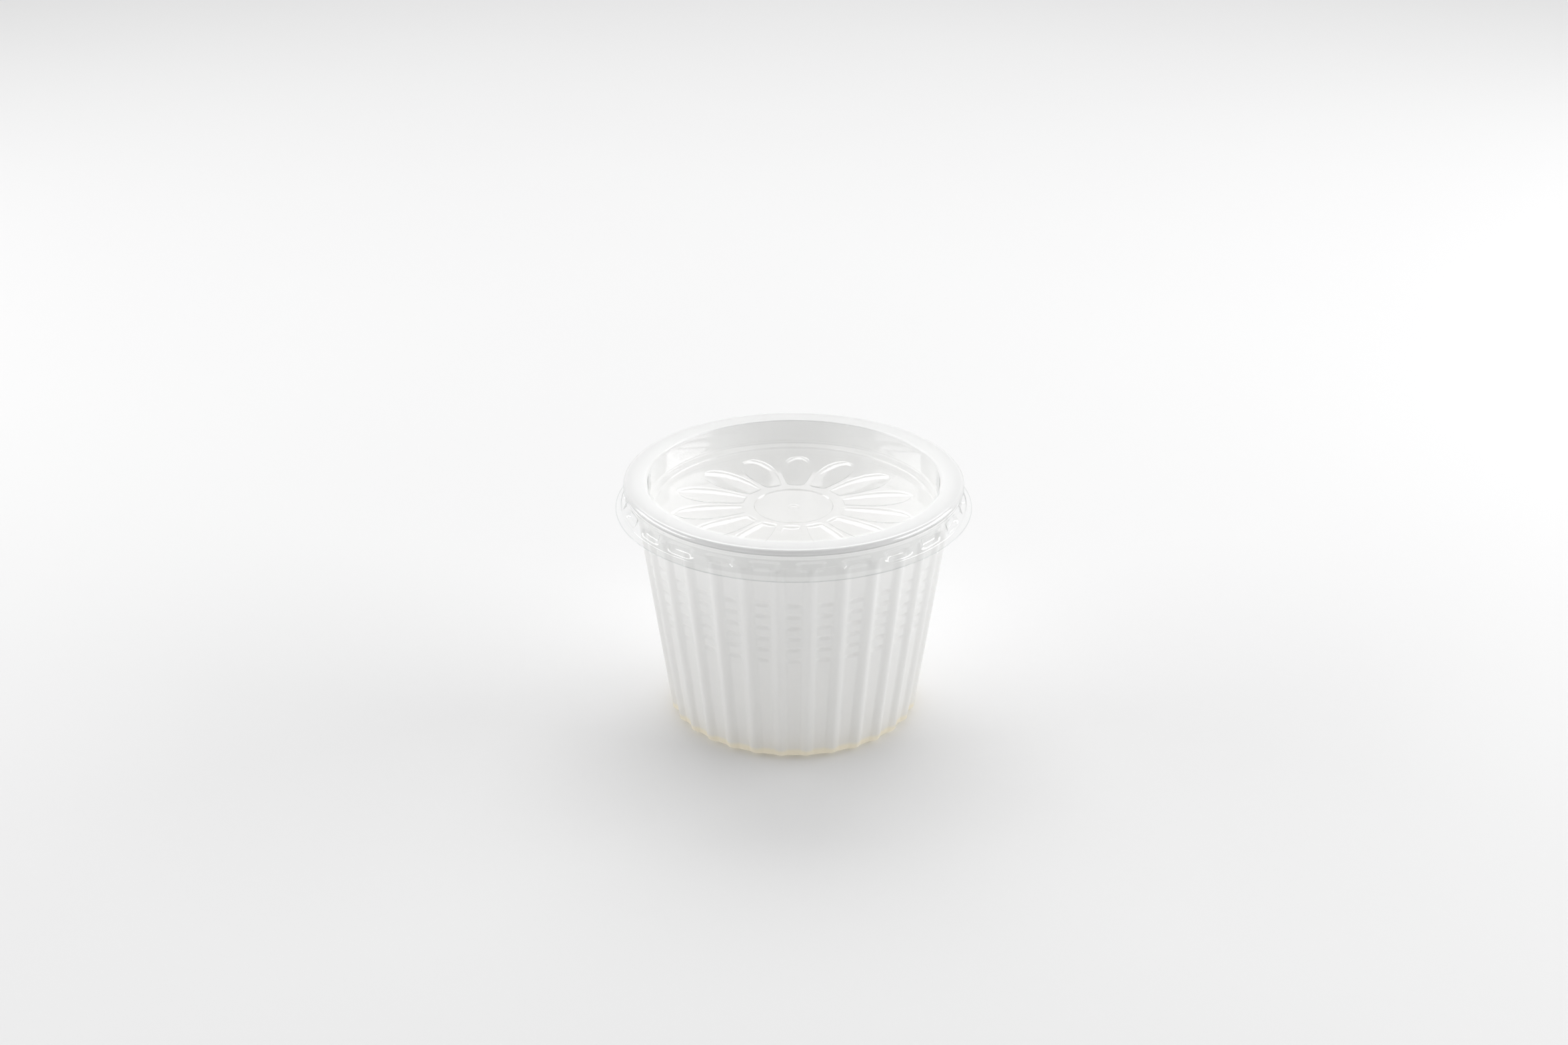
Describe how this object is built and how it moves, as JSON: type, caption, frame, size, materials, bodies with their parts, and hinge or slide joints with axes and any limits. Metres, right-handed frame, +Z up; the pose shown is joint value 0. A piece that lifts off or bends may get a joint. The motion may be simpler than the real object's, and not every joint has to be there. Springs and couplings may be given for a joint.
{
  "type": "takeaway soup container",
  "caption": "Round tapered foam soup cup with vertical ribs and a clear lid, pressed over its rim, whose sunken panel carries an embossed flower.",
  "frame": {"origin": "centre of the cup's underside", "axes": "+Z up along the container's axis; -Y is the front, with a flat panel between two ribs in its middle"},
  "size_m": [0.1264, 0.1264, 0.0887],
  "materials": {
    "foam": "satin white foamed plastic with a fine grain",
    "clear_film": "thin clear glossy film"
  },
  "bodies": {
    "root": {"cup": "foam", "lid": "clear_film"}
  },
  "joints": []
}
